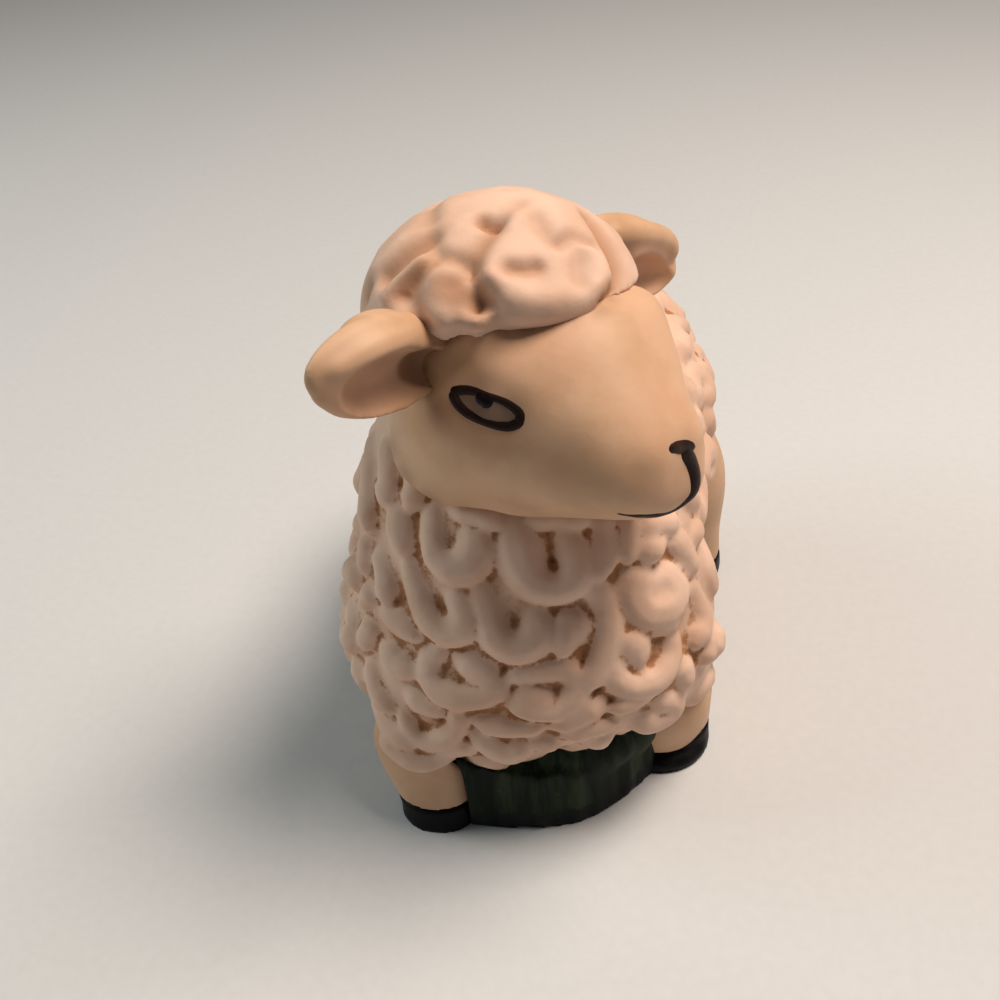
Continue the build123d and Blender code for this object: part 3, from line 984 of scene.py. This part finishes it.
def face_under(spot, mirrored):
    """The nearest place on the face in millimetres and its normal, on the left where mirrored."""
    near, normal, _, _ = face_tree.find_nearest((MIRROR @ spot if mirrored else spot) * MM)
    return near / MM, normal


def stroke(points, mirrored=False, proud=0.07):
    """Centres of a paint line: sunk so that its top stands proud by a hair."""
    centres = []
    for spot, half in points:
        near, normal = face_under(spot, mirrored)
        radius = min((half * half + proud * proud) / (2 * proud), 1.5 * half)
        sunk = math.sqrt(max(radius * radius - half * half, 0))
        centres.append((*(near - normal * sunk), radius))
    return centres


def paint_line(name, paths):
    """Strokes as one mesh."""
    lines = coils(name, paths, 36, 6)
    bpy.ops.object.shade_smooth()
    return lines


print("brush ready")

# %% Paint the strokes
DROP_SUNK, DROP_HALF = 0.1, 0.3
JAW_SIDE = -0.6


def eye_pieces(side):
    """The outline and the pupil of one eye."""
    mirrored = side == "left"
    outline = paint_line("eye_line_" + side, [stroke(eye_spots, mirrored)])
    drops = []
    for spot, half in pupil_spots:
        near, normal = face_under(spot, mirrored)
        flat_on = normal.to_track_quat("Z", "Y").to_matrix()
        drops.append(lump(near - normal * DROP_SUNK, (half, half, DROP_HALF), flat_on))
    pupil = join(drops[0], drops[1:])
    pupil.name = "pupil_" + side
    fuse(pupil, 0.06, 4)
    return outline, pupil


eyes = {side: eye_pieces(side) for side in ("right", "left")}
jaw_spots = [mark for mark in mouth_spots if (HEAD.inverted() @ mark[0]).x < JAW_SIDE]
muzzle = paint_line("nose_and_mouth", [
    stroke(nose_spots, proud=0.1), stroke(mouth_spots), stroke(jaw_spots, mirrored=True),
])
print("painted:", [piece.name for eye in eyes.values() for piece in eye], muzzle.name)

# %% Find the whites of the eyes
EYE_REACH = 4.5


def inside_eye(spots, mirrored):
    """Whether points of the face lie inside the eye's outline, seen straight on."""
    ring = np.array([MIRROR @ spot if mirrored else spot for spot, _ in eye_spots[:-1]])
    middle = ring.mean(axis=0)
    normal = face_tree.find_nearest(Vector(middle) * MM)[1]
    along = Vector(ring[5] - ring[0]).normalized()
    up = normal.cross(along).normalized()
    along = up.cross(normal)
    flat = (ring - middle) @ np.array([along, up]).T
    points = (spots - middle) @ np.array([along, up]).T
    inside = np.zeros(len(spots), dtype=bool)
    for (x1, y1), (x2, y2) in zip(flat, np.roll(flat, -1, axis=0)):
        crosses = (y1 > points[:, 1]) != (y2 > points[:, 1])
        at = x1 + (points[:, 1] - y1) * (x2 - x1) / (y2 - y1 if y2 != y1 else 1)
        inside ^= crosses & (points[:, 0] < at)
    return inside & (np.linalg.norm(spots - middle, axis=1) < EYE_REACH)


in_eyes = inside_eye(places(face.data), False) | inside_eye(places(face.data), True)
keep_mask(face, "eye_white", in_eyes.astype(float))
print("points in the whites of the eyes:", in_eyes.sum())

# %% [markdown]
# ## Where the stain and the painted shade lie on the smooth pieces
# On the smooth pieces the stain was left by hand: ochre over the brow and rose inside the ears.
# The dark brown in the roots and folds of the ears, under the rim of the cap and in a faint line along
# the jaw is brown stain and painted shade together. Each of these is a soft spot, so it is kept as an
# attribute that fades away from a few places, like the thumb's pushes.

# %% Keep the stain, the painted shade and the rose of the face
# Each spot has its pixel, its reach in millimetres and its strength
face_spots = {
    # Dark brown at the ear roots, under the cap's rim and along the jaw: brown stain and painted shade
    "stain_and_shade": (
        (418, 372, 2.0, 1.0), (424, 388, 1.6, 0.75), (430, 352, 1.8, 0.55), (436, 412, 1.7, 0.55),
        (448, 332, 1.1, 0.30), (466, 328, 1.0, 0.40), (484, 324, 1.0, 0.75), (502, 323, 1.1, 0.75),
        (525, 323, 1.1, 0.75), (548, 320, 1.1, 0.60), (572, 315, 1.0, 0.45), (600, 310, 1.0, 0.30),
        (392, 448, 1.6, 0.55), (405, 476, 1.5, 0.55), (430, 497, 1.4, 0.50), (465, 510, 1.3, 0.35),
    ),
    "ochre": (
        (464, 358, 1.8, 0.65), (440, 352, 2.0, 0.55), (500, 338, 2.0, 0.45), (432, 378, 2.0, 0.5),
        (415, 430, 2.2, 0.4),
    ),
    "rose": (
        (560, 350, 3.0, 0.35), (510, 355, 2.4, 0.4), (660, 420, 3.0, 0.25), (664, 490, 2.2, 0.35),
    ),
}
for smooth in (face, ear_right, ear_left):
    mark_creases(smooth, depth=0.3)
spots = places(face.data)
for name, rows in face_spots.items():
    own = [(HEAD.inverted() @ spot, reach, amount) for spot, reach, amount in cast_rows(face_tree, rows)]
    mask = np.zeros(len(spots))
    for centre, reach, amount in both_sides(own):
        gap = np.linalg.norm(spots - np.array(HEAD @ Vector(centre)), axis=1)
        mask = np.maximum(mask, amount * fade(gap, reach))
    keep_mask(face, name, mask)
print("kept on the face:", list(face_spots))


# %% Keep the stain, the painted shade and the rose of the ears
# Each spot in an ear: its place across and up from the root, and its reach both ways
ROSE_SPOT, ROOT_SPOT, FOLD_SPOT = (1.4, 4, 2.4, 4.6), (0, -0.4, 2.6, 2.6), (-0.4, 3, 1.2, 4.0)
FOLD_STAIN_AND_SHADE, OCHRE_AMOUNT, OCHRE_REACH = 0.45, 0.3, 3.0


def ear_spot(across, along, spot):
    """A soft spot on an ear, from how far each point lies across and along it."""
    side, up, wide, long = spot
    return fade(across - side, wide) * fade(along - up, long)


def stain_and_shade_ear(ear, place, low, root):
    """Rose inside an ear, stain and painted shade in root and fold; low points across to its lower edge."""
    own = np.array([place.inverted() @ Vector(spot) for spot in places(ear.data)])
    across, along = low * own[:, 0], own[:, 2] - root
    facing = outward(ear.data) @ np.array(place.to_3x3() @ Vector((0, -1, 0)))
    inside, rooted, fold = (ear_spot(across, along, spot) for spot in (ROSE_SPOT, ROOT_SPOT, FOLD_SPOT))
    in_root, in_fold = rooted * np.clip(0.4 + facing, 0, 1), fold * np.clip(0.3 + facing, 0, 1)
    keep_mask(ear, "rose", inside * np.clip(0.5 + facing, 0, 1))
    # Dark brown in the root and under the fold: stain and painted shade
    keep_mask(ear, "stain_and_shade", np.maximum(in_root, FOLD_STAIN_AND_SHADE * in_fold))
    keep_mask(ear, "ochre", OCHRE_AMOUNT * fade(along, OCHRE_REACH))


stain_and_shade_ear(ear_right, right_ear_place, -1, 3.4)
stain_and_shade_ear(ear_left, left_ear_place, 1, 6.6)
print("stain kept on", ear_right.name, ear_left.name)

# %% [markdown]
# ## Two effects that all the clay shares
# Fired, painted clay has two things everywhere: a fine, dry grain, and stain that pools unevenly in
# the creases. Each is a node group with named inputs, so that every material can set its own scale
# and strength. The groups put out only masks and heights. The shader stays in each material.

# %% Helpers to lay nodes
def put(tree, kind, settings=None, **inputs):
    """A node with its settings and inputs: an input is a value or another node's output."""
    node = tree.nodes.new("ShaderNode" + kind)
    for key, value in (settings or {}).items():
        setattr(node, key, value)
    for key, value in inputs.items():
        numbered = key[0] == "i" and key[1:].isdigit()
        socket = node.inputs[int(key[1:])] if numbered else node.inputs[key.replace("_", " ")]
        if isinstance(value, bpy.types.NodeSocket):
            tree.links.new(value, socket)
        else:
            socket.default_value = value
    return node


def maths(tree, operation, first, second, clamp=False):
    """One sum on two values."""
    return put(tree, "Math", {"operation": operation, "use_clamp": clamp}, i0=first, i1=second).outputs[0]


def times(tree, first, second, clamp=False):
    """One value times another."""
    return maths(tree, "MULTIPLY", first, second, clamp)


def plus(tree, first, second):
    """One value added to another."""
    return maths(tree, "ADD", first, second)


def colour_mix(tree, factor, first, second):
    """One colour laid over another."""
    return put(tree, "Mix", {"data_type": "RGBA"}, i0=factor, i6=first, i7=second).outputs[2]


def ramp(tree, value, low, high):
    """A value stretched softly between two limits."""
    settings = {"interpolation_type": "SMOOTHSTEP"}
    return put(tree, "MapRange", settings, Value=value, From_Min=low, From_Max=high).outputs[0]


def noise(tree, place, scale, detail, roughness=0.5):
    """The value of a cloud of noise."""
    settings = {"Vector": place, "Scale": scale, "Detail": detail, "Roughness": roughness}
    return put(tree, "TexNoise", **settings).outputs["Fac"]


print("nodes ready")

# %% Build the shared node groups
def group_with(name, inputs, outputs):
    """A shader node group with a place and number inputs, and its input and output sockets."""
    group = bpy.data.node_groups.new(name, "ShaderNodeTree")
    group.interface.new_socket("Place", in_out="INPUT", socket_type="NodeSocketVector")
    for label, value in inputs.items():
        socket = group.interface.new_socket(label, in_out="INPUT", socket_type="NodeSocketFloat")
        socket.default_value = value
    for label in outputs:
        group.interface.new_socket(label, in_out="OUTPUT", socket_type="NodeSocketFloat")
    return group, group.nodes.new("NodeGroupInput").outputs, group.nodes.new("NodeGroupOutput").inputs


grain, taken, given = group_with("fired_grain", {"Fineness": 1.0}, ["Mottle", "Grain", "Speck"])
place = taken["Place"]
fine = noise(grain, place, times(grain, taken["Fineness"], 2600.0), 3.0, 0.6)
dots = put(grain, "TexVoronoi", Vector=place, Scale=900.0)
speck = ramp(grain, dots.outputs["Distance"], 0.28, 0.10)
rare = ramp(grain, put(grain, "SeparateColor", Color=dots.outputs["Color"]).outputs[0], 0.72, 0.78)
grain.links.new(noise(grain, place, 160.0, 4.0, 0.55), given["Mottle"])
grain.links.new(plus(grain, times(grain, fine, 0.35), noise(grain, place, 620.0, 3.0, 0.6)), given["Grain"])
grain.links.new(times(grain, speck, rare), given["Speck"])

wiped, taken, given = group_with(
    "wiped_stain", {"Crease": 0.0, "Hollow": 0.0, "Amount": 1.0}, ["Line", "Haze"],
)
place = taken["Place"]
patch = ramp(wiped, noise(wiped, place, 260.0, 3.0, 0.6), 0.38, 0.66)
ragged = times(wiped, maths(wiped, "SUBTRACT", noise(wiped, place, 1500.0, 3.0, 0.7), 0.5), 0.9)
line = ramp(wiped, plus(wiped, taken["Crease"], ragged), 0.22, 0.95)
line = times(wiped, line, plus(wiped, times(wiped, patch, 0.6), 0.4))
haze = times(wiped, ramp(wiped, taken["Hollow"], 0.10, 0.95), plus(wiped, patch, 0.3))
wiped.links.new(times(wiped, line, taken["Amount"], clamp=True), given["Line"])
wiped.links.new(times(wiped, haze, taken["Amount"], clamp=True), given["Haze"])
print("groups:", grain.name, wiped.name)

# %% [markdown]
# ## Materials
# The bare clay is a warm cream, slightly rosy on the fleece and yellower on the face. The black of
# the hooves and the green of the grass are paint with a low sheen, brushed on in upright strokes.

# %% Name the colours
CREAM = (0.67, 0.44, 0.32, 1)
PALE = (0.76, 0.53, 0.41, 1)
FACE_CREAM = (0.58, 0.355, 0.215, 1)
FACE_PALE = (0.67, 0.43, 0.275, 1)
EYE_WHITE = (0.26, 0.17, 0.115, 1)
ROSE = (0.72, 0.36, 0.26, 1)
OCHRE = (0.52, 0.28, 0.10, 1)
# Rust brown: stain in the creases, and stain with painted shade in the cap's valleys
RUST = (0.38, 0.17, 0.075, 1)
# Dark brown for the stain and the painted shade at ear roots, under the cap's rim and along the jaw
SHADE_AND_STAIN_BROWN = (0.17, 0.075, 0.035, 1)
UMBER = (0.085, 0.035, 0.015, 1)
# Near black for the foot of the grass mound
FOOT_NEAR_BLACK = (0.004, 0.006, 0.006, 1)
BARE_CLAY = (0.35, 0.40, 0.30, 1)
print("cream, wash and rose named")


# %% Mix the bisque
def new_material(name, roughness, gloss=0.25):
    """A material with its shader, and the piece's own coordinates."""
    material = bpy.data.materials.new(name)
    material.use_nodes = True
    tree = material.node_tree
    shader = tree.nodes["Principled BSDF"]
    shader.inputs["Roughness"].default_value = roughness
    shader.inputs["Specular IOR Level"].default_value = gloss
    return material, tree, shader, put(tree, "TexCoord").outputs["Object"]


def use_group(tree, group, **inputs):
    """The outputs of one of the shared groups, placed in a material."""
    return put(tree, "Group", {"node_tree": group}, **inputs).outputs


def mask_of(tree, name):
    """A piece's own attribute."""
    return put(tree, "Attribute", {"attribute_name": name}).outputs["Fac"]


def finish_shader(tree, shader, colour, roughness, height, strength, depth):
    """Joins colour, roughness and a bump as deep as this in millimetres to the shader."""
    bump = put(tree, "Bump", Strength=strength, Distance=depth * MM, Height=height)
    joined = {"Base Color": colour, "Roughness": roughness, "Normal": bump.outputs["Normal"]}
    for label, value in joined.items():
        tree.links.new(value, shader.inputs[label])


def bisque(name, base, pale, stain_amount, grain_height, roughness, spots):
    """Cream clay stained in its creases, with soft spots of colour and painted shade from attributes."""
    material, tree, shader, place = new_material(name, roughness)
    clay = use_group(tree, grain, Place=place)
    creases = {"Crease": mask_of(tree, "crease"), "Hollow": mask_of(tree, "hollow")}
    stain_and_shade = use_group(tree, wiped, Place=place, Amount=stain_amount, **creases)
    colour = colour_mix(tree, ramp(tree, clay["Mottle"], 0.35, 0.65), base, pale)
    for attribute, tint, strength in spots:
        colour = colour_mix(tree, times(tree, mask_of(tree, attribute), strength), colour, tint)
    colour = colour_mix(tree, times(tree, stain_and_shade["Haze"], 0.42), colour, OCHRE)
    colour = colour_mix(tree, ramp(tree, stain_and_shade["Line"], 0.0, 0.45), colour, RUST)
    colour = colour_mix(tree, ramp(tree, stain_and_shade["Line"], 0.52, 1.05), colour, UMBER)
    fleck = times(tree, clay["Speck"], times(tree, stain_and_shade["Haze"], 0.8))
    colour = colour_mix(tree, fleck, colour, UMBER)
    dry = plus(tree, times(tree, clay["Mottle"], 0.14), roughness - 0.07)
    finish_shader(tree, shader, colour, dry, clay["Grain"], 0.5, grain_height)
    return material


# The valleys of the cap are brown stain and painted shade
fleece_clay = bisque("fleece_bisque", CREAM, PALE, 0.95, 0.10, 0.62, [("valley_stain_and_shade", RUST, 0.75)])
# On the smooth clay the stain attribute holds brown stain and painted shade
smooth_clay = bisque(
    "smooth_bisque", FACE_CREAM, FACE_PALE, 0.55, 0.05, 0.50,
    [("ochre", OCHRE, 0.55), ("rose", ROSE, 0.5), ("stain_and_shade", SHADE_AND_STAIN_BROWN, 0.85), ("eye_white", EYE_WHITE, 1.0)],
)
print("bisque mixed:", fleece_clay.name, smooth_clay.name)

# %% Mix the paints
PAINT_GLOSS = 0.12
UPRIGHT = (1, 1, 0.12)


def brush_paint(name, dark, light, roughness, streak, bare=0.0):
    """Paint brushed upright, with streaks of two colours and a little bare clay in between."""
    material, tree, shader, place = new_material(name, roughness, PAINT_GLOSS)
    drawn = put(tree, "Mapping", Vector=place, Scale=UPRIGHT).outputs[0]
    wide, hairs = noise(tree, drawn, 420.0, 4.0, 0.6), noise(tree, drawn, 1900.0, 3.0, 0.7)
    clay = use_group(tree, grain, Place=place)
    mask = plus(tree, wide, times(tree, hairs, 0.35))
    colour = colour_mix(tree, ramp(tree, mask, 0.58, 0.86), dark, light)
    if bare:
        # Darker towards the foot of the mound, down to near black
        low = ramp(tree, put(tree, "SeparateXYZ", Vector=place).outputs[2], 3.4 * MM, 1.4 * MM)
        darker_to_foot = ramp(tree, plus(tree, low, times(tree, wide, 0.5)), 0.6, 1.1)
        colour = colour_mix(tree, darker_to_foot, colour, FOOT_NEAR_BLACK)
        colour = colour_mix(tree, times(tree, clay["Speck"], bare), colour, BARE_CLAY)
    dry = plus(tree, times(tree, hairs, 0.2), roughness - 0.1)
    height = plus(tree, times(tree, hairs, streak), clay["Grain"])
    finish_shader(tree, shader, colour, dry, height, 0.6, 0.06)
    return material


grass_paint = brush_paint("grass_paint", (0.001, 0.005, 0.002, 1), (0.018, 0.032, 0.012, 1), 0.55, 2.0, 0.03)
hoof_paint = brush_paint("hoof_paint", (0.003, 0.003, 0.004, 1), (0.009, 0.008, 0.009, 1), 0.46, 0.6)
line_paint = brush_paint("line_paint", (0.018, 0.009, 0.007, 1), (0.050, 0.022, 0.016, 1), 0.42, 0.4)
pupil_paint = brush_paint("pupil_paint", (0.006, 0.005, 0.006, 1), (0.012, 0.010, 0.012, 1), 0.30, 0.3)
print("paints mixed:", grass_paint.name, hoof_paint.name, line_paint.name, pupil_paint.name)

# %% [markdown]
# ## Put the pieces on the frame
# Every piece rides on the solid model's one body and takes one of the materials mixed above. A
# piece that stands for a solid hides that solid.

# %% Dress the pieces
def dress(piece, material, node=None):
    """Gives a piece its finish, and its place in the frame."""
    piece.data.materials.clear()
    piece.data.materials.append(material)
    piece.data.name = piece.name
    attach(piece, "root")
    if node:
        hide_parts(node)


for piece, node in ((fleece, "body"), (cap, "wool_cap"), (tail, "tail")):
    dress(piece, fleece_clay, node)
for piece, node in ((face, "head"), (ear_right, "ear_right"), (ear_left, "ear_left")):
    dress(piece, smooth_clay, node)
for corner in legs:
    dress(legs[corner], smooth_clay, "leg_" + corner)
    dress(hooves[corner], hoof_paint, "hoof_" + corner)
dress(grass, grass_paint, "grass_base")
for outline, pupil in eyes.values():
    dress(outline, line_paint)
    dress(pupil, pupil_paint)
dress(muzzle, line_paint)

# %% [markdown]
# ## Floor and light
# The photograph has soft, warm light from above and a little right, and a weaker, cooler one from
# the left. A lamp for each, the second one weaker, gives that on a plain pale floor, at a level that
# shows colours about as they are written.

# %% Light the figurine
bpy.ops.object.select_all(action="DESELECT")
bpy.ops.mesh.primitive_plane_add(size=4)
floor = bpy.context.object
floor.name = "floor"
floor_paper, tree, shader, place = new_material("floor_paper", 0.85)
sheet_colour = colour_mix(tree, noise(tree, place, 900.0, 4.0), (0.60, 0.61, 0.62, 1), (0.66, 0.67, 0.68, 1))
tree.links.new(sheet_colour, shader.inputs["Base Color"])
floor.data.materials.append(floor_paper)


def lamp(name, location, energy, size, colour):
    """A soft square lamp that points at the figurine."""
    bpy.ops.object.light_add(type="AREA", location=Vector(location) * MM)
    light = bpy.context.object
    light.name = name
    light.data.energy = energy
    light.data.size = size * MM
    light.data.color = colour
    light.rotation_euler = (aim - light.location).to_track_quat("-Z", "Y").to_euler()


lamp("window_above", (150, 35, 358), 1.70, 150, (1.0, 0.86, 0.74))
lamp("window_left", (-330, -20, 230), 0.52, 220, (0.90, 1.0, 0.97))
world = bpy.data.worlds.new("room")
scene.world = world
world.use_nodes = True
sky = world.node_tree.nodes["Background"].inputs
sky["Color"].default_value = (0.95, 0.97, 1.0, 1)
sky["Strength"].default_value = 0.08
print("lamps lit")
